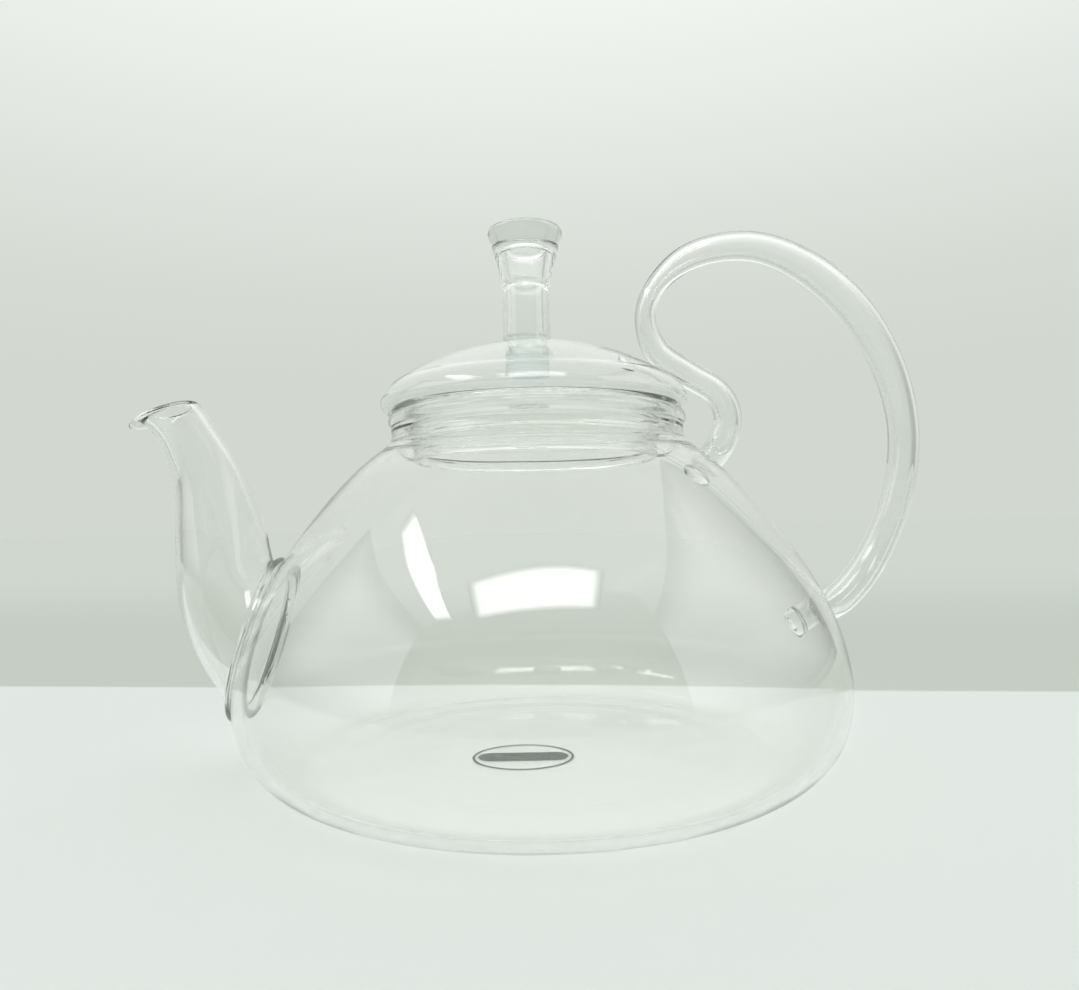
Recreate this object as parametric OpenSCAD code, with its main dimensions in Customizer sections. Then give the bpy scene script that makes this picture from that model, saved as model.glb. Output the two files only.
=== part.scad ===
// Glass teapot, blown from clear heat-proof glass, in millimetres.
// The origin is on the pot's axis, on the surface that it stands on.
// The spout points along -X and the loop handle along +X.

/* [Bowl] */
// Radius of the flat base
base_r = 54.4; // [53:0.2:56]
// Radius of the rounded heel between the base and the widest part
heel_r = 17.3; // [16.5:0.1:18]
// Radius of the belly's curve above the widest part
belly_r = 51.8; // [50:0.2:53]
// How far the belly's curve turns before the straight flank, in degrees
belly_turn = 35; // [33:1:36]
// Length of the straight flank
flank_length = 12.6; // [11.6:0.2:13.6]
// Radius of the shoulder's curve
shoulder_r = 80; // [75:1:85]
// Where the shoulder's curve ends, in degrees up from level
shoulder_end = 52.5; // [52:0.5:53.5]
// Thickness of the blown wall
wall = 2.2; // [1.8:0.1:2.6]

/* [Neck] */
// Inner radius of the neck
neck_inner_r = 33; // [32.8:0.1:33.4]
// Outer radius of the neck's waist
neck_waist_r = 35.9; // [35.6:0.1:36.3]
// Radius of the rolled bead round the mouth
bead_r = 1.9; // [1.7:0.1:2]
// Height of the top of the bead, where the lid rests
mouth_z = 84; // [83.5:0.1:84.5]

/* [Lid] */
// How far the loose lid sits off the pot's axis, towards the spout
lid_offset = 0.6; // [0:0.1:1]
// Gap between the lid's seat and the bead
seat_gap = 0.1; // [0.05:0.05:0.3]
// Radius of the lid's dome
dome_r = 62; // [60:1:64]
// Height of the dome's centre
dome_centre_z = 39.6; // [39:0.1:41]
// Wall of the dome
dome_wall = 2.2; // [1.8:0.1:2.6]
// Radius of the rolled rim round the lid
rim_r = 3.2; // [3:0.1:3.4]
// Outer radius of the lid
lid_r = 37.8; // [37.6:0.1:38.4]
// Outer radius of the flange at its lower edge
flange_r = 30.2; // [29.5:0.1:30.5]
// Height of the flange's lower edge
flange_z = 72.3; // [71:0.1:74]
// Wall of the flange
flange_wall = 2; // [1.6:0.1:2.4]
// Radius of the steam vent
vent_r = 1.5; // [1:0.1:2]

/* [Knob] */
// How far the knob was fused off the lid's axis, towards the spout
knob_offset = 1.6; // [0:0.1:2]
// Outer radius of the knob's stem
stem_r = 5.9; // [5.5:0.1:6.3]
// Wall of the stem
stem_wall = 1.6; // [1.2:0.1:2]
// Radius of the solid plug under the stem
plug_r = 5.6; // [5:0.1:5.8]
// Outer radius of the knob's cap
cap_r = 9.4; // [9:0.1:10]

/* [Spout] */
// Radius of the spout where it meets the bowl
root_r = 17.8; // [17.4:0.1:18.2]
// Upward lean of the spout's root, in degrees
root_lean = 15.5; // [14:0.5:17]
// Wall of the spout
spout_wall = 1.8; // [1.4:0.1:2]
// Radius of the weld bead round the root
root_bead_r = 1.5; // [1.2:0.1:1.6]

/* [Handle] */
// Wall of the handle's tube
handle_wall = 1.5; // [1.2:0.1:1.8]
// Radius of the solid seals at the handle's ends
seal_r = 4; // [3.8:0.1:4.2]
// How far the seals stand into the bowl
seal_depth = 4; // [3:0.5:5]

/* [Base mark] */
// Length of the plain oval mark under the base
mark_length = 24; // [20:1:28]
// Width of the mark
mark_width = 20; // [16:1:24]
// Depth of the mark, which is flush with the base
mark_depth = 0.2; // [0.1:0.1:0.4]

/* [Hidden] */
$fn = 96;
clear_glass = [0.86, 0.9, 0.88, 0.45];
thick_glass = [0.8, 0.87, 0.83, 0.6];
mark_grey = [0.45, 0.5, 0.48];
cut = 1; // how far a cutting tool runs past the face that it cuts

// The bowl's curves run into each other, so each centre follows from the curve before it.
belly_centre = [base_r + heel_r - belly_r, heel_r];
flank_start = belly_centre + belly_r * [cos(belly_turn), sin(belly_turn)];
flank_end = flank_start + flank_length * [-sin(belly_turn), cos(belly_turn)];
shoulder_centre = flank_end - shoulder_r * [cos(belly_turn), sin(belly_turn)];
shoulder_dir = [cos(shoulder_end), sin(shoulder_end)];
heel_steps = 12;
belly_steps = 8;
shoulder_steps = 5;

// The moulded ring under the base
ring_r = 45;
ring_width = 1.6;
ring_depth = 0.5;

// The neck
bead_overhang = 0.2; // how far the bead stands into the mouth
bead_centre = [neck_inner_r + bead_r - bead_overhang, mouth_z - bead_r];
waist_z = 77.4;
waist_round_r = 3; // radius of the curve between the waist and the shoulder
neck_throat = [0.9, 74.9]; // where the neck's inner face starts to open into the bowl

// The lid
seat_z = mouth_z + seat_gap;
rim_centre_r = lid_r - rim_r;
rim_centre_z = dome_centre_z + sqrt(pow(dome_r - rim_r, 2) - pow(rim_centre_r, 2));
rim_turn = atan2(rim_centre_z - dome_centre_z, rim_centre_r);
rim_inner_r = 32.8;
rim_inner_top_z = 88.5;
rim_steps = 12;
dome_centre = [0, dome_centre_z];
dome_edge = 56.5; // where the dome runs into the rim, in degrees up from level
dome_steps = 8;
dome_low_z = 85; // a height under the dome's inner face, where its cutting tools start
dome_tool_h = 20;
flange_top_z = 87;
flange_lip = 0.8;
flange_taper = 0.8;
flange_flare = 1.7;
vent_place_r = 24;
vent_turn = -20;

// The knob
knob_x = lid_offset + knob_offset;
plug_z = 94.9;
stem_z = 102.2;
flare_z = 116.5;
flare_r = 9;
flare_steps = 6;
flare_power = 1.4;
cap_z = 128.4;
cap_edge_z = 129.8;
knob_top_z = 131;
plug_round_r = 2;

// The base mark, set where the maker would press it
mark_place = [-5.8, -7.1];
mark_turn = -8;
mark_step = 7.5; // degrees between the points of the oval

// The spout: each row holds the front of a ring and its back, as [x, z, x, z], from the root to the lip.
spout_rings = [
    [-75.2, 19.2, -63.8, 48.8],
    [-81.0, 29.2, -64.8, 51.8],
    [-84.6, 41.0, -65.7, 57.0],
    [-85.4, 54.0, -68.1, 64.2],
    [-85.9, 66.5, -71.5, 72.5],
    [-88.8, 76.4, -76.2, 80.3],
    [-91.8, 81.0, -79.3, 85.2],
    [-94.4, 82.4, -80.5, 86.5],
    [-95.6, 80.8, -80.7, 86.7]
];
spout_steps = 3;
spout_sides = 28;
root_centre = [-65.8, 30.8];
root_run = root_r * [sin(root_lean), cos(root_lean)];
root_ring = [each root_centre - root_run, each root_centre + root_run];
root_bead_out = 0.3; // how far the weld bead's middle lies outside the root's radius
root_bead_rise = 1.2; // how far it lies along the root's axis
root_hole_r = root_r - spout_wall;
root_hole_h = 40;

// The handle: each row holds a point of the tube's centre line and its radius there, as [x, z, r].
handle_route = [
    [43.9, 71.6, 3.8],
    [48.2, 77.4, 3.7],
    [49.9, 84.0, 3.6],
    [46.8, 90.2, 3.5],
    [38.8, 95.0, 3.5],
    [31.2, 100.6, 3.3],
    [28.5, 109.5, 2.7],
    [31.7, 117.6, 2.7],
    [39.4, 124.5, 3.4],
    [49.8, 128.0, 3.7],
    [61.4, 127.9, 3.9],
    [74.4, 122.4, 4.3],
    [85.9, 112.4, 4.5],
    [94.1, 99.5, 4.3],
    [98.3, 86.0, 4.0],
    [98.6, 73.0, 3.9],
    [95.2, 59.0, 3.9],
    [88.0, 45.2, 4.0],
    [79.8, 36.2, 4.0],
    [70.7, 31.6, 3.9]
];
handle_steps = 3;
handle_sides = 20;
top_seal_place = [43.3, 70.8];
top_seal_lean = 52;
bottom_seal_place = [69.8, 31.2];
bottom_seal_lean = 26;
seal_outer_length = 1;
seal_round = 2; // how much of the seal's inner end is rounded
seal_hole_h = 12;

// Points along an arc about a centre, from angle a0 to angle a1
function arc(centre, r, a0, a1, steps) =
    [for (i = [0:steps]) let (a = a0 + (a1 - a0) * i / steps) centre + r * [cos(a), sin(a)]];

function reversed(list) = [for (i = [len(list) - 1:-1:0]) list[i]];

// A smooth curve through every row of a list, for rows of any length
function clamped(rows, i) = rows[max(0, min(len(rows) - 1, i))];
function between(a, b, c, d, t) =
    0.5 * (2 * b + (c - a) * t + (2 * a - 5 * b + 4 * c - d) * t * t + (3 * b - a - 3 * c + d) * t * t * t);
function smooth(rows, steps) = [
    for (i = [0:len(rows) - 2], s = [0:steps - 1])
        between(clamped(rows, i - 1), rows[i], rows[i + 1], clamped(rows, i + 2), s / steps),
    rows[len(rows) - 1]
];

// The bowl's outer curve, or the curve that lies inset inside it, from the base to the shoulder
function bowl_curve(inset) = concat(
    [[0, inset]],
    arc([base_r, heel_r], heel_r - inset, -90, 0, heel_steps),
    arc(belly_centre, belly_r - inset, belly_turn / belly_steps, belly_turn, belly_steps - 1),
    arc(shoulder_centre, shoulder_r - inset, belly_turn, shoulder_end, shoulder_steps)
);

// A ring of points round centre, which is [x, z], with its first point towards dir in the XZ plane
function ring(centre, dir, r, sides) = [
    for (j = [0:sides - 1]) let (a = 360 * j / sides)
        [centre[0] + r * cos(a) * dir[0], r * sin(a), centre[1] + r * cos(a) * dir[1]]
];

// Two triangles for each patch between rings i and i + 1 of a list of rings
function patches(first, rings, sides, outward) = [
    for (i = [0:rings - 2], j = [0:sides - 1], half = [0:1])
        let (
            a = first + i * sides + j,
            b = first + i * sides + (j + 1) % sides,
            c = a + sides,
            d = b + sides,
            face = half == 0 ? [a, b, d] : [a, d, c]
        )
        outward ? face : reversed(face)
];

// The flat ring that closes one end of a tube
function end_ring(outer, inner, sides, outward) = [
    for (j = [0:sides - 1], half = [0:1])
        let (
            k = (j + 1) % sides,
            face = half == 0 ? [outer + j, outer + k, inner + k] : [outer + j, inner + k, inner + j]
        )
        outward ? face : reversed(face)
];

// A hollow tube, open at both ends, between a list of outer rings and a list of inner rings
module tube(outer, inner, sides) {
    rings = len(outer);
    inner_first = rings * sides;
    points = concat([for (r = outer) each r], [for (r = inner) each r]);
    polyhedron(points, concat(
        patches(0, rings, sides, true),
        patches(inner_first, rings, sides, false),
        end_ring(0, inner_first, sides, false),
        end_ring((rings - 1) * sides, inner_first + (rings - 1) * sides, sides, true)
    ));
}

// Places its children at a point of the XZ plane, with +Z turned lean degrees up from +X
module leaning(place, lean) {
    translate([place[0], 0, place[1]]) rotate([0, 90 - lean, 0]) children();
}

module mark_plate() {
    translate(mark_place) rotate(mark_turn)
        linear_extrude(mark_depth)
            polygon([for (a = [0:mark_step:359]) [mark_length / 2 * cos(a), mark_width / 2 * sin(a)]]);
}

module bowl() {
    color(clear_glass) difference() {
        rotate_extrude() polygon(concat(bowl_curve(0), reversed(bowl_curve(wall))));
        rotate_extrude() translate([ring_r - ring_width / 2, -cut]) square([ring_width, ring_depth + cut]);
        leaning(root_centre, 180 - root_lean) cylinder(h = root_hole_h, r = root_hole_r, center = true);
        leaning(top_seal_place, top_seal_lean) cylinder(h = seal_hole_h, r = seal_r, center = true);
        leaning(bottom_seal_place, bottom_seal_lean) cylinder(h = seal_hole_h, r = seal_r, center = true);
        mark_plate();
    }
}

module neck_collar() {
    shoulder_outer = shoulder_centre + shoulder_r * shoulder_dir;
    shoulder_inner = shoulder_centre + (shoulder_r - wall) * shoulder_dir;
    color(clear_glass) rotate_extrude() polygon(concat(
        [shoulder_outer],
        arc([neck_waist_r + waist_round_r, waist_z], waist_round_r, 225, 180, 4),
        [[neck_waist_r, bead_centre[1] - bead_r - 0.5]],
        arc(bead_centre, bead_r, -45, 180, 14),
        [[neck_inner_r, bead_centre[1] - bead_r], [neck_inner_r, waist_z]],
        [[neck_inner_r + neck_throat[0], neck_throat[1]], shoulder_inner]
    ));
}

module spout() {
    rows = smooth(concat([root_ring], spout_rings), spout_steps);
    centres = [for (p = rows) [p[0] + p[2], p[1] + p[3]] / 2];
    fronts = [for (p = rows) [p[0] - p[2], p[1] - p[3]]];
    outer = [for (i = [0:len(rows) - 1])
        ring(centres[i], fronts[i] / norm(fronts[i]), norm(fronts[i]) / 2, spout_sides)];
    inner = [for (i = [0:len(rows) - 1])
        ring(centres[i], fronts[i] / norm(fronts[i]), norm(fronts[i]) / 2 - spout_wall, spout_sides)];
    color(clear_glass) tube(outer, inner, spout_sides);
}

module spout_seal() {
    color(thick_glass) leaning(root_centre, 180 - root_lean)
        rotate_extrude() translate([root_r + root_bead_out, root_bead_rise]) circle(r = root_bead_r);
}

module handle() {
    rows = smooth(handle_route, handle_steps);
    last = len(rows) - 1;
    runs = [for (i = [0:last]) let (a = rows[max(0, i - 1)], b = rows[min(last, i + 1)]) [b[0] - a[0], b[1] - a[1]]];
    sides = [for (run = runs) [-run[1], run[0]] / norm(run)];
    outer = [for (i = [0:last]) ring([rows[i][0], rows[i][1]], sides[i], rows[i][2], handle_sides)];
    inner = [for (i = [0:last]) ring([rows[i][0], rows[i][1]], sides[i], rows[i][2] - handle_wall, handle_sides)];
    color(clear_glass) tube(outer, inner, handle_sides);
}

// A solid seal with a rounded inner end, which starts just outside the bowl's wall
module handle_seal(place, lean) {
    steps = 8;
    color(thick_glass) leaning(place, lean) rotate_extrude() polygon(concat(
        [[0, seal_outer_length], [seal_r, seal_outer_length]],
        [for (i = [0:steps]) let (a = 90 * i / steps)
            [seal_r * cos(a), seal_round * (1 - sin(a)) - seal_depth]]
    ));
}

module handle_top_seal() {
    handle_seal(top_seal_place, top_seal_lean);
}

module handle_bottom_seal() {
    handle_seal(bottom_seal_place, bottom_seal_lean);
}

module base_mark() {
    color(mark_grey) mark_plate();
}

module lid_dome() {
    color(clear_glass) translate([-lid_offset, 0, 0]) difference() {
        rotate_extrude() polygon(concat(
            arc(dome_centre, dome_r, dome_edge, 90, dome_steps),
            arc(dome_centre, dome_r - dome_wall, 90, dome_edge, dome_steps)
        ));
        translate([-knob_offset, 0, dome_low_z]) cylinder(h = dome_tool_h, r = plug_r);
        rotate(vent_turn) translate([vent_place_r, 0, dome_low_z]) cylinder(h = dome_tool_h, r = vent_r);
    }
}

module lid_rim() {
    dome_edge_dir = [cos(dome_edge), sin(dome_edge)];
    rim_low = asin((seat_z - rim_centre_z) / rim_r);
    color(thick_glass) translate([-lid_offset, 0, 0]) rotate_extrude() polygon(concat(
        [dome_centre + (dome_r - dome_wall) * dome_edge_dir],
        [[rim_inner_r, rim_inner_top_z], [rim_inner_r, seat_z]],
        arc([rim_centre_r, rim_centre_z], rim_r, rim_low, rim_turn, rim_steps),
        [dome_centre + dome_r * dome_edge_dir]
    ));
}

module lid_flange() {
    // The flange widens a little as it rises, then flares out to meet the rim.
    outer = [
        [flange_r, flange_z + flange_lip],
        [flange_r + flange_taper, seat_z - flange_flare],
        [rim_inner_r, seat_z + flange_lip],
        [rim_inner_r, flange_top_z]
    ];
    color(clear_glass) translate([-lid_offset, 0, 0]) rotate_extrude() polygon(concat(
        [[flange_r - flange_wall / 2, flange_z]],
        outer,
        [for (p = reversed(outer)) [p[0] - flange_wall, p[1]]]
    ));
}

module knob_plug() {
    color(thick_glass) translate([-knob_x, 0, 0]) rotate_extrude() polygon(concat(
        [[0, plug_z]],
        arc([plug_r - plug_round_r, plug_z + plug_round_r], plug_round_r, -90, 0, 6),
        [[plug_r, stem_z], [0, stem_z]]
    ));
}

module knob_stem() {
    // The stem runs straight up to the flare, then opens out to the cap.
    flare_rise = cap_z - flare_z;
    outer = concat(
        [[stem_r, stem_z]],
        [for (i = [0:flare_steps]) let (t = i / flare_steps)
            [stem_r + (flare_r - stem_r) * pow(t, flare_power), flare_z + flare_rise * t]]
    );
    color(clear_glass) translate([-knob_x, 0, 0]) rotate_extrude() polygon(concat(
        outer,
        [for (p = reversed(outer)) [p[0] - stem_wall, p[1]]]
    ));
}

module knob_cap() {
    edge_r = cap_edge_z - cap_z;
    color(thick_glass) translate([-knob_x, 0, 0]) rotate_extrude() polygon(concat(
        [[0, cap_z]],
        arc([cap_r - edge_r, cap_edge_z], edge_r, -90, 60, 8),
        [[0, knob_top_z]]
    ));
}

bowl();
neck_collar();
spout();
spout_seal();
handle();
handle_top_seal();
handle_bottom_seal();
base_mark();
lid_dome();
lid_rim();
lid_flange();
knob_plug();
knob_stem();
knob_cap();
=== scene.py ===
"""The looks of the clear glass teapot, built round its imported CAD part.

Curves are drawn in millimetres in the part's own frame (+Z up, spout along -X) and become
metres when a mesh is made. Every glass piece is a closed mesh, because light bends at each skin.
"""
import math
import random

import bmesh
import bpy
from mathutils import Matrix, Vector


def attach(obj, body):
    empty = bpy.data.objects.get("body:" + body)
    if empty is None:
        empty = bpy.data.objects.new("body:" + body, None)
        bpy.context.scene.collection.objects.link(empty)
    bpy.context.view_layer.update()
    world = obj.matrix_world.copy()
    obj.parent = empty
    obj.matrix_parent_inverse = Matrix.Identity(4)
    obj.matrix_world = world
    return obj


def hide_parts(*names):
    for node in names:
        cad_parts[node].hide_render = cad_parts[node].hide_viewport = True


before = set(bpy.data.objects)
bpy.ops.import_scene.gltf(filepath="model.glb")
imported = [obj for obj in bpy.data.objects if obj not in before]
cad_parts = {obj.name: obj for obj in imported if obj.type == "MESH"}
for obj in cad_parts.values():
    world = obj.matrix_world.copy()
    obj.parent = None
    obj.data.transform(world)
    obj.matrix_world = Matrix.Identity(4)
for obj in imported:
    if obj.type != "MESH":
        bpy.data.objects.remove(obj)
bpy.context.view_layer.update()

MM = 0.001
TINY = 1e-6

# ---------------------------------------------------------------- driving dimensions
# Lengths are in millimetres and angles in degrees.

# The bowl's outer curve: flat base, heel, belly, straight flank and shoulder, with each bend
# eased into the next over a short way to each side
BASE_R = 55
HEEL_R = 16
BELLY_R = 53.8
BELLY_TURN = 36.3
FLANK = 18.1
SHOULDER_R = 58.3
SHOULDER_END = 54
EASE = 11
WALL = 2.2

# The faint ring under the base: where it is, its half width, how far from its middle the plain
# flat starts, half the height of its waves and how many there are to each side
BASE_RING_R = 44.5
BASE_RING_HALF = 2.4
BASE_RING_CLEAR = 3
BASE_RIPPLE = 0.004
BASE_WAVES = 3

# A loop this far inside the base's edge keeps the flat base flat beside its round heel
BASE_LOOP = 1

# The shallow rings that turning leaves in soft glass: depth, and radians per millimetre of height
RIPPLE = 0.025
RIPPLE_RATES = (3.1, 5.3)

# The neck and its rolled bead
NECK_INNER_R = 33
NECK_WAIST_R = 35.9
WAIST_Z = 77.4
THROAT = (33.9, 74.9)
NECK_FOOT = [(37.2, 75.9), (36.2, 76.7), (NECK_WAIST_R, 77.9)]
BEAD_R = 1.9
MOUTH_Z = 84
BEAD = (NECK_INNER_R + BEAD_R - 0.2, MOUTH_Z - BEAD_R)
BEAD_FOOT = (NECK_WAIST_R, BEAD[1] - BEAD_R - 0.7)

# The lid, which sits a little towards the spout
LID_X = -0.6
DOME_R = 62
LID_WALL = 1
BEND_R = 9
BEND_LOW = 22
RIM_R = 2.4
RIM_LOW = -72
LID_R = 37.8
SEAT_Z = 84.1
FLANGE_R = 30.2
FLANGE_Z = 72.3
FLANGE_WALL = 2
FLANGE_TAPER = 0.8

# The steam vent: its place as (distance out, turn), and the heights that its cutting rod spans
VENT_R = 1.5
VENT_AT = (24, -20)
VENT_CUT = (85, 105)

# The bubbles above the seat, with the ranges of their turn, distance out and radius
BUBBLES = 14
BUBBLE_SEED = 5
BUBBLE_TURN = (198, 232)
BUBBLE_OUT = (33.5, 35)
BUBBLE_R = (0.1, 0.28)
BUBBLE_UP = 0.4

# The knob, fused a little off the lid's axis
KNOB_X = -2.2
STEM_R = 5.9
STEM_EDGE = 0.6
HOLLOW_R = 3.9
HOLLOW_FOOT = 1.2
HOLLOW_TOP_R = 5.6
HOLLOW_TOP_Z = 126
HOLLOW_CORNER = 1.3
JOINT_RIDGE = 0.3
JOINT_WIDTH = 0.45
PLUG_R = 5.6
PLUG_Z = 94.9
PLUG_EDGE = 0.8
STEM_Z = 102.2
FLARE_Z = 116.5
FLARE_R = 9
FLARE_POWER = 1.15
CAP_R = 9.4
CAP_EDGE = 1.2
CAP_CROWN = 0.1
CAP_Z = 128.4
KNOB_TOP_Z = 131

# The spout: front and back of each ring as (x, z, x, z), from the root to the lip
ROOT = (-65.8, 30.8)
ROOT_R = 17.8
ROOT_LEAN = 15.5
SPOUT_WALL = 1.8
WELD_R = 1.5
WELD_AT = (ROOT_R + 0.3, 1.2)
HOLE_R = ROOT_R - 0.3
HOLE_EDGE_R = 1.5
HOLE_EDGE_AT = (HOLE_R, 0.15)
SPOUT_RINGS = [
    (-75.2, 19.2, -63.8, 48.8),
    (-81.0, 29.2, -64.8, 51.8),
    (-84.6, 41.0, -65.7, 57.0),
    (-85.4, 54.0, -68.1, 64.2),
    (-85.9, 66.5, -71.5, 72.5),
    (-88.8, 76.4, -76.2, 80.3),
    (-91.8, 81.0, -79.3, 85.2),
    (-94.4, 82.4, -80.5, 86.5),
    (-95.6, 80.8, -80.7, 86.7),
]

# The handle's centre line and radius there as (x, z, radius)
HANDLE_WALL = 1.5
HANDLE_ROUTE = [
    (43.9, 71.6, 3.8),
    (48.2, 77.4, 3.7),
    (49.9, 84.0, 3.6),
    (46.8, 90.2, 3.5),
    (38.8, 95.0, 3.5),
    (31.2, 100.6, 3.3),
    (28.5, 109.5, 2.7),
    (31.7, 117.6, 2.7),
    (39.4, 124.5, 3.4),
    (49.8, 128.0, 3.7),
    (61.4, 127.9, 3.9),
    (74.4, 122.4, 4.3),
    (85.9, 112.4, 4.5),
    (94.1, 99.5, 4.3),
    (98.3, 86.0, 4.0),
    (98.6, 73.0, 3.9),
    (95.2, 59.0, 3.9),
    (88.0, 45.2, 4.0),
    (79.8, 36.2, 4.0),
    (70.7, 31.6, 3.9),
]

# The solid seals at its ends, as (x, z, lean up from level)
TOP_SEAL = (43.3, 70.8, 52)
BOTTOM_SEAL = (69.8, 31.2, 26)
SEAL_R = 4
SEAL_DEPTH = 4
SEAL_OUT = 1
SEAL_EDGE = 0.6
SEAL_ROUND = 2.4
SEAL_OVERLAP = 0.05

# The plain oval mark under the base
MARK_AT = (-5.8, -7.1)
MARK_TURN = -8
MARK_SIZE = (24, 20)
MARK_LOW = 0.08
MARK_HIGH = 0.18
MARK_LINE = 0.55
BAR_HALF = 7.6
BAR_ROUND = 3.1

# How finely the pieces are turned and swept, and the least angle of an edge that looks sharp
ROUND = 256
SPOUT_SIDES = 160
TUBE_SIDES = 96
VENT_SIDES = 64
MARK_SIDES = 96
BOWL_STEPS = 104
END_STEPS = 10
SHARP = 50

# How long the cutting rods are, for the spout's hole and for the seals
HOLE_CUT = 40
SEAL_CUT = 12


# ---------------------------------------------------------------- curves
def polar(degrees, radius=1.0):
    """The (x, z) offset at an angle up from level."""
    return radius * math.cos(math.radians(degrees)), radius * math.sin(math.radians(degrees))


def shifted(point, offset):
    return point[0] + offset[0], point[1] + offset[1]


def even_steps(start, end, steps):
    """Evenly spaced numbers, ends included."""
    return [start + (end - start) * i / steps for i in range(steps + 1)]


def straight(start, end, steps):
    """Points along a straight line, ends included."""
    return [tuple(a + (b - a) * share for a, b in zip(start, end)) for share in even_steps(0, 1, steps)]


def arc(centre, radius, start, end, steps):
    """Points along an arc about a centre, from one angle to another."""
    return [shifted(centre, polar(turn, radius)) for turn in even_steps(start, end, steps)]


def circle(centre, radius):
    """Points every 10 degrees round a full circle."""
    return arc(centre, radius, 0, 350, 35)


def smooth(rows, steps):
    """A Catmull-Rom curve through every row, for rows of any length."""
    out = []
    last = len(rows) - 1
    for i in range(last):
        a, b, c, d = rows[max(i - 1, 0)], rows[i], rows[i + 1], rows[min(i + 2, last)]
        for s in range(steps):
            t = s / steps
            out.append(tuple(
                0.5 * (2 * q + (r - p) * t + (2 * p - 5 * q + 4 * r - u) * t * t
                       + (3 * q - p - 3 * r + u) * t ** 3)
                for p, q, r, u in zip(a, b, c, d)
            ))
    out.append(tuple(rows[last]))
    return out


# The runs of the bowl's curve, from the base to the neck, as (length, degrees turned)
BOWL_RUNS = [
    (math.radians(90) * HEEL_R, 90),
    (math.radians(BELLY_TURN) * BELLY_R, BELLY_TURN),
    (FLANK, 0),
    (math.radians(SHOULDER_END - BELLY_TURN) * SHOULDER_R, SHOULDER_END - BELLY_TURN),
]


def heading(at):
    """The heading in degrees at a distance along the runs, before easing."""
    turned = 0
    for length, turn in BOWL_RUNS[:-1]:
        if at < length:
            return turned + turn * at / length
        turned += turn
        at -= length
    length, turn = BOWL_RUNS[-1]
    return turned + turn * at / length


def eased_heading(at):
    """The heading averaged over EASE to each side, so that mirrored lights do not kink."""
    shares = even_steps(-1, 1, 8)
    return sum(heading(at + EASE * share) for share in shares) / len(shares)


def bowl_rows(steps):
    """Walks up the bowl's outer curve and gives (radius, height, heading) along it."""
    step = sum(length for length, _ in BOWL_RUNS) / steps
    place = (BASE_R, 0.0)
    rows = [(*place, 0.0)]
    for i in range(steps):
        place = shifted(place, polar(eased_heading((i + 0.5) * step), step))
        rows.append((*place, eased_heading((i + 1) * step)))
    return rows


def bowl_curve(inset):
    """The bowl's outer curve from the base to the neck, or the curve inset inside it."""
    return [shifted((r, z), polar(turned + 90, inset)) for r, z, turned in bowl_rows(BOWL_STEPS)]


def rippled(points, depth):
    """An outline's points moved in and out by the shallow rings that turning leaves in soft glass."""
    return [(r + depth * sum(math.sin(rate * z) for rate in RIPPLE_RATES), z) for r, z in points]


# ---------------------------------------------------------------- meshes
def area(outline):
    """Twice the signed area of a closed outline, above zero where it runs anticlockwise."""
    return sum(a[0] * b[1] - b[0] * a[1] for a, b in zip(outline, outline[1:] + outline[:1]))


def add_turned(bm, outline, centre_x, cavity=False, sides=ROUND):
    """Turns a closed outline of (radius, height) about a vertical axis; a cavity's skin faces in."""
    if (area(outline) < 0) != cavity:
        outline = outline[::-1]
    rings = []
    for r, z in outline:
        count = sides if r > TINY else 1
        rings.append([
            bm.verts.new((
                (centre_x + r * math.cos(math.tau * k / count)) * MM,
                r * math.sin(math.tau * k / count) * MM,
                z * MM,
            )) for k in range(count)
        ])
    join_rings(bm, rings, closed=True)


def join_rings(bm, rings, closed):
    """Faces between each ring of vertices and the next; a ring of one vertex is a tip."""
    pairs = zip(rings, rings[1:] + rings[:1]) if closed else zip(rings, rings[1:])
    for low, high in pairs:
        for k in range(max(len(low), len(high))):
            corners = [
                low[k % len(low)], low[(k + 1) % len(low)],
                high[(k + 1) % len(high)], high[k % len(high)],
            ]
            corners = list(dict.fromkeys(corners))
            if len(corners) > 2:
                bm.faces.new(corners)


def planar_ring(bm, centre, direction, radius, sides):
    """A ring whose first vertex lies along a direction in the XZ plane."""
    return [
        bm.verts.new((
            (centre[0] + radius * math.cos(math.tau * k / sides) * direction[0]) * MM,
            radius * math.sin(math.tau * k / sides) * MM,
            (centre[1] + radius * math.cos(math.tau * k / sides) * direction[1]) * MM,
        )) for k in range(sides)
    ]


def piece(name, bm, material, sharp=SHARP):
    """A finished mesh object, smooth except where its faces meet at more than the sharp angle."""
    mesh = bpy.data.meshes.new(name)
    bm.to_mesh(mesh)
    bm.free()
    mesh.materials.append(material)
    mesh.shade_smooth()
    mesh.set_sharp_from_angle(angle=math.radians(sharp))
    obj = bpy.data.objects.new(name, mesh)
    bpy.context.scene.collection.objects.link(obj)
    return obj


def combine(obj, operation, tools):
    """Cuts each tool's volume out of a piece, or joins it on, and deletes the tool."""
    for tool in tools:
        cut = obj.modifiers.new("cut", "BOOLEAN")
        cut.operation = operation
        cut.solver = "EXACT"
        cut.object = tool
        bpy.context.view_layer.update()
        shaped = obj.evaluated_get(bpy.context.evaluated_depsgraph_get())
        made = bpy.data.meshes.new_from_object(shaped)
        obj.modifiers.clear()
        old, obj.data = obj.data, made
        bpy.data.meshes.remove(old)
        bpy.data.objects.remove(tool)
    obj.data.shade_smooth()
    obj.data.set_sharp_from_angle(angle=math.radians(SHARP))


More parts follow.
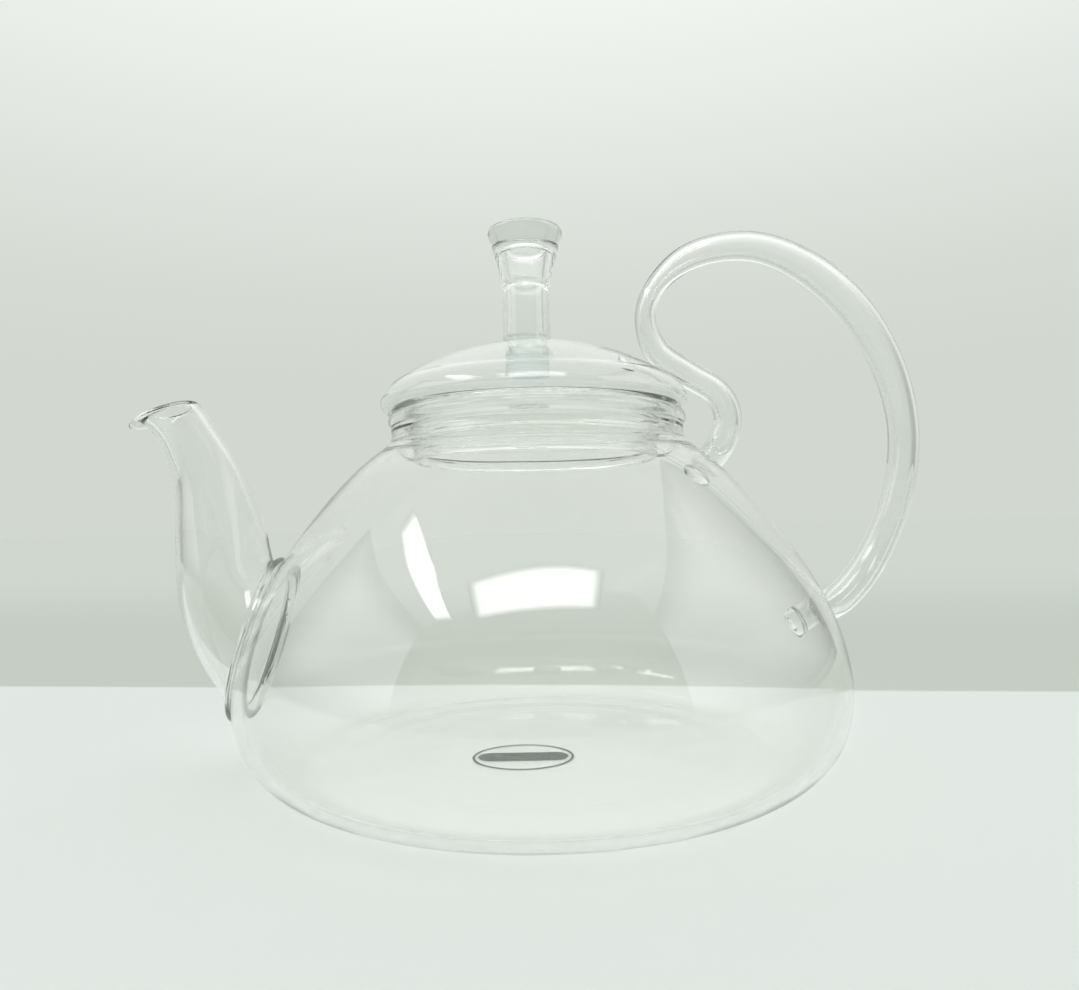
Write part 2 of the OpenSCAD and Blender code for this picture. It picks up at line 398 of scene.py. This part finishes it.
def leaning_rod(x, z, lean, radius, length, material):
    """A round rod centred on a point of the XZ plane, along a direction lean degrees up from +X."""
    bm = bmesh.new()
    along = polar(lean)
    across = (-along[1], along[0])
    rings = []
    for at, r in ((-1, 0), (-1, radius), (1, radius), (1, 0)):
        centre = (x + along[0] * at * length / 2, z + along[1] * at * length / 2)
        if r:
            rings.append(planar_ring(bm, centre, across, r, TUBE_SIDES))
        else:
            rings.append([bm.verts.new((centre[0] * MM, 0, centre[1] * MM))])
    join_rings(bm, rings, closed=False)
    bmesh.ops.recalc_face_normals(bm, faces=bm.faces)
    return piece("tool", bm, material)


# ---------------------------------------------------------------- materials
def new_material(name):
    material = bpy.data.materials.new(name)
    material.use_nodes = True
    nodes = material.node_tree.nodes
    return material, nodes, material.node_tree.links, nodes["Principled BSDF"]


def noise_ramp(nodes, links, scale, detail, stops, stretch=(1, 1, 1)):
    """Noise in the piece's own space, per metre, turned into a colour by a ramp."""
    place = nodes.new("ShaderNodeTexCoord")
    mapping = nodes.new("ShaderNodeMapping")
    mapping.inputs["Scale"].default_value = stretch
    grain = nodes.new("ShaderNodeTexNoise")
    grain.inputs["Scale"].default_value = scale
    grain.inputs["Detail"].default_value = detail
    ramp = nodes.new("ShaderNodeValToRGB")
    ramp.color_ramp.elements[0].position = stops[0][0]
    ramp.color_ramp.elements[0].color = stops[0][1]
    ramp.color_ramp.elements[1].position = stops[1][0]
    ramp.color_ramp.elements[1].color = stops[1][1]
    links.new(place.outputs["Object"], mapping.inputs["Vector"])
    links.new(mapping.outputs["Vector"], grain.inputs["Vector"])
    links.new(grain.outputs["Fac"], ramp.inputs["Fac"])
    return ramp


def grey(value):
    return value, value, value, 1


def glass(name, clear, light, deep, wave, wave_scale):
    """Borosilicate glass: a faint tint that varies, hand-blown waves, a few dull smears and haze."""
    material, nodes, links, shader = new_material(name)
    shader.inputs["Transmission Weight"].default_value = clear
    shader.inputs["IOR"].default_value = 1.47
    tint = noise_ramp(nodes, links, 30, 3, ((0.3, (*deep, 1)), (0.7, (*light, 1))))
    links.new(tint.outputs["Color"], shader.inputs["Base Color"])
    smears = noise_ramp(nodes, links, 90, 6, ((0.62, grey(0)), (0.85, grey(0.05))), (1, 1, 3))
    links.new(smears.outputs["Color"], shader.inputs["Roughness"])
    waves = noise_ramp(nodes, links, wave_scale, 1, ((0, grey(0)), (1, grey(1))))
    bump = nodes.new("ShaderNodeBump")
    bump.inputs["Strength"].default_value = 1
    bump.inputs["Distance"].default_value = wave
    links.new(waves.outputs["Color"], bump.inputs["Height"])
    links.new(bump.outputs["Normal"], shader.inputs["Normal"])
    return material


def ink(name):
    """Dark grey printing ink, a little uneven in tone and in gloss."""
    material, nodes, links, shader = new_material(name)
    dark, worn = (0.045, 0.055, 0.05, 1), (0.11, 0.13, 0.12, 1)
    body = noise_ramp(nodes, links, 900, 4, ((0.35, dark), (0.7, worn)))
    links.new(body.outputs["Color"], shader.inputs["Base Color"])
    sheen = noise_ramp(nodes, links, 1500, 3, ((0.3, grey(0.3)), (0.7, grey(0.5))))
    links.new(sheen.outputs["Color"], shader.inputs["Roughness"])
    return material


# Each glass with its clearness, its two tints, and the depth in metres and scale of its waves. The
# solid plug is the cloudiest, because so much glass shows its own blue-grey.
BLOWN = glass("blown_glass_look", 0.993, (0.987, 0.991, 0.985), (0.975, 0.982, 0.972), 0.00008, 45)
TUBE = glass("tube_glass_look", 0.993, (0.987, 0.991, 0.985), (0.97, 0.978, 0.967), 0.00008, 60)
THICK = glass("thick_glass_look", 0.975, (0.982, 0.991, 0.98), (0.96, 0.975, 0.958), 0.00012, 90)
SOLID = glass("solid_glass_look", 0.86, (0.93, 0.965, 0.985), (0.82, 0.875, 0.91), 0.00015, 140)
INK = ink("mark_ink_look")


# ---------------------------------------------------------------- the pot
def bowl_outline():
    """The bowl and its neck in section: up the outside, round the bead and down the inside."""
    outside = bowl_curve(0)
    base_ring = [
        (BASE_RING_R + BASE_RING_HALF * t, BASE_RIPPLE * (1 - math.cos(BASE_WAVES * math.tau * t)))
        for t in even_steps(-1, 1, 36)
    ]
    neck_inside = [(NECK_INNER_R, BEAD[1] - BEAD_R), (NECK_INNER_R, WAIST_Z), THROAT]
    return (
        [(0, 0), (BASE_RING_R - BASE_RING_CLEAR, 0)]
        + base_ring
        + [(BASE_RING_R + BASE_RING_CLEAR, 0), (BASE_R - BASE_LOOP, 0)]
        + outside
        + rippled(smooth([outside[-1], *NECK_FOOT, BEAD_FOOT], 8)[1:], RIPPLE)
        + arc(BEAD, BEAD_R, -50, 180, 40)
        + rippled(smooth(neck_inside, 16), RIPPLE)
        + bowl_curve(WALL)[::-1]
        + [(BASE_R - BASE_LOOP, WALL), (0, WALL)]
    )


def make_bowl():
    """The bowl with its neck, blown in one, with holes for the spout and the handle's seals."""
    bm = bmesh.new()
    add_turned(bm, bowl_outline(), 0)
    bowl = piece("bowl_glass", bm, BLOWN)
    combine(bowl, "DIFFERENCE", [
        leaning_rod(*ROOT, 180 - ROOT_LEAN, HOLE_R, HOLE_CUT, BLOWN),
        leaning_rod(*TOP_SEAL, SEAL_R - SEAL_OVERLAP, SEAL_CUT, BLOWN),
        leaning_rod(*BOTTOM_SEAL, SEAL_R - SEAL_OVERLAP, SEAL_CUT, BLOWN),
    ])
    edge = bmesh.new()
    add_turned(edge, circle(HOLE_EDGE_AT, HOLE_EDGE_R), 0)
    put_on_root(edge)
    combine(bowl, "UNION", [piece("tool", edge, BLOWN)])
    return bowl


def put_on_root(bm):
    """Moves a mesh that was turned about +Z onto the axis of the spout's root."""
    turn = math.radians(ROOT_LEAN)
    for v in bm.verts:
        x, y, z = v.co
        v.co = (
            ROOT[0] * MM - z * math.cos(turn) - x * math.sin(turn),
            y,
            ROOT[1] * MM + z * math.sin(turn) - x * math.cos(turn),
        )
    bmesh.ops.recalc_face_normals(bm, faces=bm.faces)


def make_spout():
    """The spout's tapering tube, with both ends rounded in the flame."""
    run = polar(90 - ROOT_LEAN, ROOT_R)
    root_ring = (ROOT[0] - run[0], ROOT[1] - run[1], ROOT[0] + run[0], ROOT[1] + run[1])
    rows = []
    for fx, fz, bx, bz in smooth([root_ring] + SPOUT_RINGS, 16):
        width = math.hypot(fx - bx, fz - bz)
        rows.append(((fx + bx) / 2, (fz + bz) / 2, (fx - bx) / width, (fz - bz) / width, width / 2))
    bm = bmesh.new()

    def ring(row, radius, along=0.0):
        x, z, dx, dz, _ = row
        return planar_ring(bm, (x + dz * along, z - dx * along), (dx, dz), radius, SPOUT_SIDES)

    half = SPOUT_WALL / 2
    rings = [ring(row, row[4]) for row in rows]
    rings += [
        ring(rows[-1], rows[-1][4] - half + half * math.cos(turn), half * math.sin(turn))
        for turn in (math.pi * i / END_STEPS for i in range(1, END_STEPS))
    ]
    rings += [ring(row, row[4] - SPOUT_WALL) for row in reversed(rows)]
    rings += [
        ring(rows[0], rows[0][4] - half - half * math.cos(turn), -half * math.sin(turn))
        for turn in (math.pi * i / END_STEPS for i in range(1, END_STEPS))
    ]
    join_rings(bm, rings, closed=True)
    bmesh.ops.recalc_face_normals(bm, faces=bm.faces)
    return piece("spout_glass", bm, BLOWN)


def make_spout_weld():
    """The bead of glass that fuses the spout's root to the bowl."""
    bm = bmesh.new()
    add_turned(bm, circle(WELD_AT, WELD_R), 0)
    put_on_root(bm)
    return piece("spout_weld", bm, THICK)


def make_handle():
    """The handle's tube, closed at both ends, with its sealed hollow."""
    rows = smooth(HANDLE_ROUTE, 24)
    last = len(rows) - 1
    solid_rows = 12
    closing = 14
    bm = bmesh.new()

    def ring(i, radius):
        ahead, behind = rows[min(i + 1, last)], rows[max(i - 1, 0)]
        run = (ahead[0] - behind[0], ahead[1] - behind[1])
        length = math.hypot(*run)
        return planar_ring(bm, rows[i][:2], (-run[1] / length, run[0] / length), radius, TUBE_SIDES)

    def tip(i):
        return [bm.verts.new((rows[i][0] * MM, 0, rows[i][1] * MM))]

    def skin(first, end, inset):
        """The tube's skin between two rows; the hollow's narrows over its closing rows."""
        rings = [tip(first)]
        for i in range(first, end + 1):
            from_end = min(i - first + 1, end - i + 1)
            share = math.sqrt(1 - (1 - min(from_end / closing, 1)) ** 2) if inset else 1
            rings.append(ring(i, (rows[i][2] - inset) * share))
        rings.append(tip(end))
        return rings

    outer = skin(0, last, 0)
    join_rings(bm, outer, closed=False)
    bmesh.ops.recalc_face_normals(bm, faces=bm.faces)
    solid = set(bm.faces)
    join_rings(bm, skin(solid_rows, last - solid_rows, HANDLE_WALL), closed=False)
    hollow = [f for f in bm.faces if f not in solid]
    bmesh.ops.recalc_face_normals(bm, faces=hollow)
    bmesh.ops.reverse_faces(bm, faces=hollow)
    return piece("handle_glass", bm, TUBE)


def make_seal(name, place):
    """A solid seal with a rounded inner end, where the handle is fused into the bowl."""
    x, z, lean = place
    bm = bmesh.new()
    outline = (
        [(0, SEAL_OUT)]
        + arc((SEAL_R - SEAL_EDGE, SEAL_OUT - SEAL_EDGE), SEAL_EDGE, 90, 0, 5)
        + arc((SEAL_R - SEAL_ROUND, SEAL_ROUND - SEAL_DEPTH), SEAL_ROUND, 0, -90, 12)
        + [(0, -SEAL_DEPTH)]
    )
    add_turned(bm, outline, 0, sides=TUBE_SIDES)
    along = polar(lean)
    for v in bm.verts:
        u, y, w = v.co
        v.co = (x * MM + w * along[0] + u * along[1], y, z * MM + w * along[1] - u * along[0])
    bmesh.ops.recalc_face_normals(bm, faces=bm.faces)
    return piece(name, bm, THICK)


# ---------------------------------------------------------------- the lid
def add_bubble(bm, turn, out, radius):
    """A bubble caught in the glass above the lid's seat; its skin faces in."""
    x, y = polar(turn, out)
    centre = Vector((LID_X + x, y, SEAT_Z + BUBBLE_UP)) * MM
    made = bmesh.ops.create_icosphere(
        bm, subdivisions=3, radius=radius * MM, matrix=Matrix.Translation(centre)
    )
    skin = {face for vert in made["verts"] for face in vert.link_faces}
    bmesh.ops.reverse_faces(bm, faces=list(skin))


def lid_outline():
    """The lid in section: over the dome and rim, round the flange and back under the dome."""
    rim = (LID_R - RIM_R, SEAT_Z - polar(RIM_LOW, RIM_R)[1])
    bend = shifted(rim, polar(BEND_LOW + 180, BEND_R - RIM_R))
    bend_turn = math.degrees(math.acos(bend[0] / (DOME_R - BEND_R)))
    dome = shifted(bend, polar(bend_turn + 180, DOME_R - BEND_R))
    fold_r = RIM_R - LID_WALL
    joint_r = FLANGE_R + FLANGE_TAPER
    inner_r = joint_r - FLANGE_WALL
    under_rim = [
        (rim[0], SEAT_Z), (rim[0] - 1.6, SEAT_Z - 0.05), (joint_r + 0.8, SEAT_Z - 0.5),
        (joint_r, SEAT_Z - 1.8), (joint_r, SEAT_Z - 3),
    ]
    over_fold = [
        (inner_r, SEAT_Z - 1.8), (inner_r + 0.1, SEAT_Z - 0.6), (inner_r + 1.2, SEAT_Z + 0.6),
        (rim[0] - 2, rim[1] - fold_r), (rim[0], rim[1] - fold_r),
    ]
    flange_low = FLANGE_Z + 1.2
    return (
        [shifted(dome, (0, DOME_R))]
        + arc(dome, DOME_R, 89, bend_turn, 44)
        + arc(bend, BEND_R, bend_turn, BEND_LOW, 30)[1:]
        + arc(rim, RIM_R, BEND_LOW, RIM_LOW, 30)[1:]
        + smooth(under_rim, 8)
        + rippled(straight((joint_r, SEAT_Z - 3.2), (FLANGE_R, flange_low), 40), RIPPLE)
        + arc((FLANGE_R - FLANGE_WALL / 2, FLANGE_Z + 1), FLANGE_WALL / 2, 0, -180, 16)
        + rippled(straight((FLANGE_R - FLANGE_WALL, flange_low), (inner_r, SEAT_Z - 2), 40), RIPPLE)
        + smooth(over_fold, 8)[:-1]
        + arc(rim, fold_r, -90, BEND_LOW, 30)
        + arc(bend, BEND_R - LID_WALL, BEND_LOW, bend_turn, 30)[1:]
        + arc(dome, DOME_R - LID_WALL, bend_turn, 89, 44)[1:]
        + [shifted(dome, (0, DOME_R - LID_WALL))]
    )


def cut_vent(lid):
    """Drills the steam vent through the dome."""
    vent_x, vent_y = polar(VENT_AT[1], VENT_AT[0])
    vent = bmesh.new()
    low, high = VENT_CUT
    add_turned(vent, [(0, low), (VENT_R, low), (VENT_R, high), (0, high)], 0, sides=VENT_SIDES)
    for v in vent.verts:
        v.co.x += (LID_X + vent_x) * MM
        v.co.y += vent_y * MM
    combine(lid, "DIFFERENCE", [piece("tool", vent, BLOWN)])


def make_lid():
    """The dome, its folded rim and the flange fused under it, with bubbles and the steam vent."""
    chance = random.Random(BUBBLE_SEED)
    bm = bmesh.new()
    add_turned(bm, lid_outline(), LID_X)
    for _ in range(BUBBLES):
        add_bubble(bm, *(chance.uniform(*limits) for limits in (BUBBLE_TURN, BUBBLE_OUT, BUBBLE_R)))
    lid = piece("lid_glass", bm, BLOWN)
    cut_vent(lid)
    return lid


def ridge(z):
    """How far the fused joint between the stem and the flare stands out at a height."""
    return JOINT_RIDGE * math.exp(-((z - FLARE_Z) / JOINT_WIDTH) ** 2)


def flared(z, low, high):
    """A radius that stays low up the stem and opens out to high at the cap."""
    return low + (high - low) * max(0.0, (z - FLARE_Z) / (CAP_Z - FLARE_Z)) ** FLARE_POWER


def knob_outside():
    """The outside of the stem and cap in section, from the stem's foot up to the crown."""
    edge_z = KNOB_TOP_Z - CAP_EDGE - CAP_CROWN
    return (
        [(0, STEM_Z - STEM_EDGE), (STEM_R - 1, STEM_Z - STEM_EDGE)]
        + arc((STEM_R - STEM_EDGE, STEM_Z), STEM_EDGE, -90, 0, 8)
        + [(flared(z, STEM_R, FLARE_R) + ridge(z), z) for z in even_steps(STEM_Z + 0.3, CAP_Z, 90)]
        + arc((CAP_R - CAP_EDGE, edge_z), CAP_EDGE, -10, 80, 16)
        + [(r, KNOB_TOP_Z - CAP_CROWN * r / CAP_R) for r in (CAP_R - 2, CAP_R / 2)]
        + [(0, KNOB_TOP_Z)]
    )


def knob_hollow():
    """The sealed space inside the stem and cap in section, from its foot up to its top."""
    top = HOLLOW_TOP_Z
    corner_z = top - HOLLOW_CORNER
    return (
        [(0, STEM_Z + 1), (HOLLOW_R - HOLLOW_FOOT - 0.2, STEM_Z + 1)]
        + arc((HOLLOW_R - HOLLOW_FOOT, STEM_Z + 1 + HOLLOW_FOOT), HOLLOW_FOOT, -90, 0, 10)
        + [(flared(z, HOLLOW_R, HOLLOW_TOP_R) - ridge(z), z)
           for z in even_steps(STEM_Z + 2.5, corner_z - 0.2, 80)]
        + arc((HOLLOW_TOP_R - HOLLOW_CORNER - 0.2, corner_z), HOLLOW_CORNER, 0, 84, 12)
        + [(r, top + 0.3 - 0.25 * r / HOLLOW_TOP_R) for r in (3, 1.5)]
        + [(0, top + 0.3)]
    )


def make_knob():
    """The hollow stem, which opens out to the thick cap."""
    bm = bmesh.new()
    add_turned(bm, knob_outside(), KNOB_X)
    add_turned(bm, knob_hollow(), KNOB_X, cavity=True)
    return piece("knob_glass", bm, THICK)


def make_plug():
    """The solid plug under the stem, which holds the knob in the dome."""
    bm = bmesh.new()
    plug_top = STEM_Z - 0.1
    outline = (
        [(0, PLUG_Z), (PLUG_R - 1.1, PLUG_Z)]
        + arc((PLUG_R - PLUG_EDGE, PLUG_Z + PLUG_EDGE), PLUG_EDGE, -90, 0, 8)
        + straight((PLUG_R, PLUG_Z + 1), (PLUG_R, plug_top - 0.2), 8)
        + [(PLUG_R - 0.2, plug_top), (PLUG_R - 0.5, plug_top), (0, plug_top)]
    )
    add_turned(bm, outline, KNOB_X)
    return piece("knob_plug_glass", bm, SOLID)


# ---------------------------------------------------------------- the mark
def make_mark():
    """A plain oval outline with a bar across it, printed under the base, with no lettering."""
    bm = bmesh.new()
    turn = math.radians(MARK_TURN)

    def place(x, y, z):
        return bm.verts.new((
            (MARK_AT[0] + x * math.cos(turn) - y * math.sin(turn)) * MM,
            (MARK_AT[1] + x * math.sin(turn) + y * math.cos(turn)) * MM,
            z * MM,
        ))

    def band(outer, inner):
        """A flat closed band between two outlines of the same number of points."""
        edges = (outer, MARK_LOW), (outer, MARK_HIGH), (inner, MARK_HIGH), (inner, MARK_LOW)
        loops = [[place(x, y, z) for x, y in line] for line, z in edges]
        join_rings(bm, loops, closed=True)

    def oval(inset):
        return [
            (math.cos(math.tau * k / MARK_SIDES) * (MARK_SIZE[0] / 2 - inset),
             math.sin(math.tau * k / MARK_SIDES) * (MARK_SIZE[1] / 2 - inset))
            for k in range(MARK_SIDES)
        ]

    band(oval(0), oval(MARK_LINE))
    # The bar is a band too, between its outline and a sliver along its middle, so it looks filled
    bar = arc((BAR_HALF, 0), BAR_ROUND, -90, 90, 18) + arc((-BAR_HALF, 0), BAR_ROUND, 90, 270, 18)
    band(bar, [(x * 0.98, y * 0.02) for x, y in bar])
    bmesh.ops.recalc_face_normals(bm, faces=bm.faces)
    return piece("base_mark_print", bm, INK, sharp=30)


def dress(obj, body, slot, *nodes):
    """Puts a piece on its body, in place of the CAD nodes that it stands for."""
    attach(obj, body)
    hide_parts(*nodes)


dress(make_bowl(), "pot", "blown_glass", "bowl", "neck_collar")
dress(make_spout(), "pot", "blown_glass", "spout")
dress(make_spout_weld(), "pot", "thick_glass", "spout_seal")
dress(make_handle(), "pot", "tube_glass", "handle")
dress(make_seal("handle_top_weld", TOP_SEAL), "pot", "thick_glass", "handle_top_seal")
dress(make_seal("handle_bottom_weld", BOTTOM_SEAL), "pot", "thick_glass", "handle_bottom_seal")
dress(make_mark(), "pot", "mark_print", "base_mark")
dress(make_lid(), "lid", "blown_glass", "lid_dome", "lid_rim", "lid_flange")
dress(make_knob(), "lid", "thick_glass", "knob_stem", "knob_cap")
dress(make_plug(), "lid", "thick_glass", "knob_plug")


# ---------------------------------------------------------------- the studio
# All of it is in metres, and angles are in degrees.
TABLE_WHITE = (0.835, 0.86, 0.85, 1)
TABLE_EDGE = 0.0735
TABLE_EDGE_SOFT = 0.003
TABLE_TURN = 14.4
FLOOR_NEAR = (0.62, 0.65, 0.61, 1)
FLOOR_FAR = (0.70, 0.725, 0.69, 1)
FLOOR_FADE_END = 0.7
FLOOR_HALF = 6.0
FLOOR_Z = -0.0002

# The sky's two tones, between which heights of a direction they change, how dim it is straight to
# the sides, and between which side parts of a direction it dims
BACK_LIGHT = (0.645, 0.685, 0.632, 1)
TOP_LIGHT = (1.05, 1.08, 1.05, 1)
SKY_RISE = (0.15, 0.9)
SIDE_LIGHT = 0.6
SIDE_DIM = (0.72, 0.95)

# The ceiling lights' height, strength, soft share and (x, y) corners
CEILING = 1.05
CEILING_GLOW = 7
CEILING_SOFT = 0.12
LIGHT_LEFT = [(-0.862, 0.13), (-0.757, 0.14), (-0.704, -0.24), (-0.784, -0.69), (-0.92, -0.64)]
LIGHT_FRONT = [(-0.495, -0.497), (0.278, -0.557), (0.263, -0.83), (-0.559, -0.78)]

# Where the walls beside and behind the camera stand, where the two pale ones start, and their
# soft share
ROOM_LEFT = -1.65
ROOM_RIGHT = 0.88
ROOM_BACK = -1.0
PALE_FROM = -1.5
PALE_SOFT = 0.45

# Each wall's name, its two ends, its lowest and highest edge, its glow and its soft share
WALLS = [
    ("shaded_wall", (ROOM_LEFT, ROOM_BACK), (ROOM_RIGHT, ROOM_BACK), 0, 1.55, 0.3, 0.001),
    ("pale_wall_left", (ROOM_LEFT, PALE_FROM), (ROOM_LEFT, 0.42), 0.3, 1.35, 2.4, PALE_SOFT),
    ("pale_wall_right", (ROOM_RIGHT, PALE_FROM), (ROOM_RIGHT, 0.15), 0.12, 1.0, 2.1, PALE_SOFT),
]

# The camera, with its turn towards the handle, its tip up and its roll
CAMERA_AT = (-0.0268, -0.1925, 0.0575)
CAMERA_TURN = 8
CAMERA_TIP = 1.912
CAMERA_ROLL = -1.1


def floor_look():
    """Matt and pale: white near the pot and light grey beyond the back edge of the table."""
    material, nodes, links, shader = new_material("floor_look")
    place = nodes.new("ShaderNodeNewGeometry")
    behind = nodes.new("ShaderNodeVectorMath")
    behind.operation = "DOT_PRODUCT"
    behind.inputs[1].default_value = (*reversed(polar(TABLE_TURN)), 0)
    edge = nodes.new("ShaderNodeMapRange")
    edge.inputs["From Min"].default_value = TABLE_EDGE
    edge.inputs["From Max"].default_value = TABLE_EDGE + TABLE_EDGE_SOFT
    tone = nodes.new("ShaderNodeMix")
    tone.data_type = "RGBA"
    tone.inputs["A"].default_value = TABLE_WHITE
    fade = nodes.new("ShaderNodeMapRange")
    fade.interpolation_type = "SMOOTHERSTEP"
    fade.inputs["From Min"].default_value = TABLE_EDGE
    fade.inputs["From Max"].default_value = FLOOR_FADE_END
    floor_tone = nodes.new("ShaderNodeMix")
    floor_tone.data_type = "RGBA"
    floor_tone.inputs["A"].default_value = FLOOR_NEAR
    floor_tone.inputs["B"].default_value = FLOOR_FAR
    links.new(behind.outputs["Value"], fade.inputs["Value"])
    links.new(fade.outputs["Result"], floor_tone.inputs["Factor"])
    links.new(floor_tone.outputs["Result"], tone.inputs["B"])
    links.new(place.outputs["Position"], behind.inputs[0])
    links.new(behind.outputs["Value"], edge.inputs["Value"])
    links.new(edge.outputs["Result"], tone.inputs["Factor"])
    links.new(tone.outputs["Result"], shader.inputs["Base Color"])
    shader.inputs["Roughness"].default_value = 1
    shader.inputs["Specular IOR Level"].default_value = 0
    return material


def make_floor():
    """The wide, flat floor that the pot stands on."""
    bm = bmesh.new()
    signs = (-1, -1), (1, -1), (1, 1), (-1, 1)
    bm.faces.new([bm.verts.new((x * FLOOR_HALF, y * FLOOR_HALF, FLOOR_Z)) for x, y in signs])
    floor = piece("studio_floor", bm, floor_look())


def make_sky():
    """Soft light from all round, brighter from above and dimmer from the sides."""
    world = bpy.data.worlds.new("studio")
    bpy.context.scene.world = world
    world.use_nodes = True
    nodes, links = world.node_tree.nodes, world.node_tree.links
    place = nodes.new("ShaderNodeTexCoord")
    split = nodes.new("ShaderNodeSeparateXYZ")
    rise = nodes.new("ShaderNodeMapRange")
    rise.interpolation_type = "SMOOTHSTEP"
    rise.inputs["From Min"].default_value = SKY_RISE[0]
    rise.inputs["From Max"].default_value = SKY_RISE[1]
    tone = nodes.new("ShaderNodeMix")
    tone.data_type = "RGBA"
    tone.inputs["A"].default_value = BACK_LIGHT
    tone.inputs["B"].default_value = TOP_LIGHT
    links.new(place.outputs["Generated"], split.inputs["Vector"])
    links.new(split.outputs["Z"], rise.inputs["Value"])
    links.new(rise.outputs["Result"], tone.inputs["Factor"])
    links.new(tone.outputs["Result"], nodes["Background"].inputs["Color"])
    sideways = nodes.new("ShaderNodeMath")
    sideways.operation = "ABSOLUTE"
    dim = nodes.new("ShaderNodeMapRange")
    dim.inputs["From Min"].default_value = SIDE_DIM[0]
    dim.inputs["From Max"].default_value = SIDE_DIM[1]
    dim.inputs["To Min"].default_value = 1
    dim.inputs["To Max"].default_value = SIDE_LIGHT
    links.new(split.outputs["X"], sideways.inputs[0])
    links.new(sideways.outputs["Value"], dim.inputs["Value"])
    links.new(dim.outputs["Result"], nodes["Background"].inputs["Strength"])


def panel_look(name, strength):
    """A plain glow, at full strength where the mesh's glow attribute is 1 and dark where it is 0."""
    material = bpy.data.materials.new(name)
    material.use_nodes = True
    nodes = material.node_tree.nodes
    links = material.node_tree.links
    nodes.clear()
    share = nodes.new("ShaderNodeAttribute")
    share.attribute_name = "glow"
    level = nodes.new("ShaderNodeMapRange")
    level.interpolation_type = "SMOOTHSTEP"
    level.inputs["To Max"].default_value = strength
    glow = nodes.new("ShaderNodeEmission")
    out = nodes.new("ShaderNodeOutputMaterial")
    links.new(share.outputs["Fac"], level.inputs["Value"])
    links.new(level.outputs["Result"], glow.inputs["Strength"])
    links.new(glow.outputs["Emission"], out.inputs["Surface"])
    return material


def make_panel(name, corners, strength, soft, through=True):
    """A glowing panel, given by its corners, that is seen only in the glass.

    Its glow fades to nothing over the soft share of its size. Where through is false, it shows
    only in the outer skins that mirror it straight away, and not in light that has passed the glass.
    """
    bm = bmesh.new()
    corners = [Vector(c) for c in corners]
    centre = sum(corners, Vector()) / len(corners)
    inner = [bm.verts.new(centre + (c - centre) * (1 - soft)) for c in corners]
    outer = [bm.verts.new(centre + (c - centre) * (1 + soft)) for c in corners]
    bm.faces.new(inner)
    join_rings(bm, [outer, inner], closed=False)
    box = piece(name, bm, panel_look(name + "_look", strength))
    lit = box.data.attributes.new("glow", "FLOAT", "POINT")
    for k in range(len(corners)):
        lit.data[k].value = 1
    box.visible_camera = False
    box.visible_diffuse = False
    box.visible_transmission = through
    box.visible_shadow = False


def ceiling_light(name, corners):
    """A ceiling light over its (x, y) corners."""
    make_panel(name, [(x, y, CEILING) for x, y in corners], CEILING_GLOW, CEILING_SOFT)


def make_wall(name, start, end, low, high, strength, soft):
    """An upright wall between two (x, y) places and two heights, mirrored only by outer skins."""
    corners = [(*start, low), (*end, low), (*end, high), (*start, high)]
    make_panel(name, corners, strength, soft, through=False)


def make_camera():
    """The camera, close to the pot and a little below half its height, tipped slightly up."""
    data = bpy.data.cameras.new("camera")
    data.lens = 26
    data.sensor_width = 36
    data.clip_start = 0.01
    camera = bpy.data.objects.new("camera", data)
    bpy.context.scene.collection.objects.link(camera)
    camera.location = CAMERA_AT
    ahead, aside = polar(CAMERA_TURN)
    look = Vector((aside, ahead, math.tan(math.radians(CAMERA_TIP))))
    turn = look.to_track_quat("-Z", "Y").to_matrix().to_4x4()
    roll = Matrix.Rotation(math.radians(CAMERA_ROLL), 4, Vector((0, 0, 1)))
    camera.rotation_mode = "QUATERNION"
    camera.rotation_quaternion = (turn @ roll).to_quaternion()
    bpy.context.scene.camera = camera


make_floor()
make_sky()
ceiling_light("ceiling_light_left", LIGHT_LEFT)
ceiling_light("ceiling_light_front", LIGHT_FRONT)
for wall in WALLS:
    make_wall(*wall)
make_camera()

# Light is followed through many skins of glass
scene = bpy.context.scene
scene.view_settings.view_transform = "Standard"
scene.cycles.max_bounces = 32
scene.cycles.transmission_bounces = 32
scene.cycles.glossy_bounces = 12
scene.cycles.diffuse_bounces = 2
scene.cycles.sample_clamp_indirect = 6
scene.cycles.blur_glossy = 0
scene.cycles.use_denoising = True
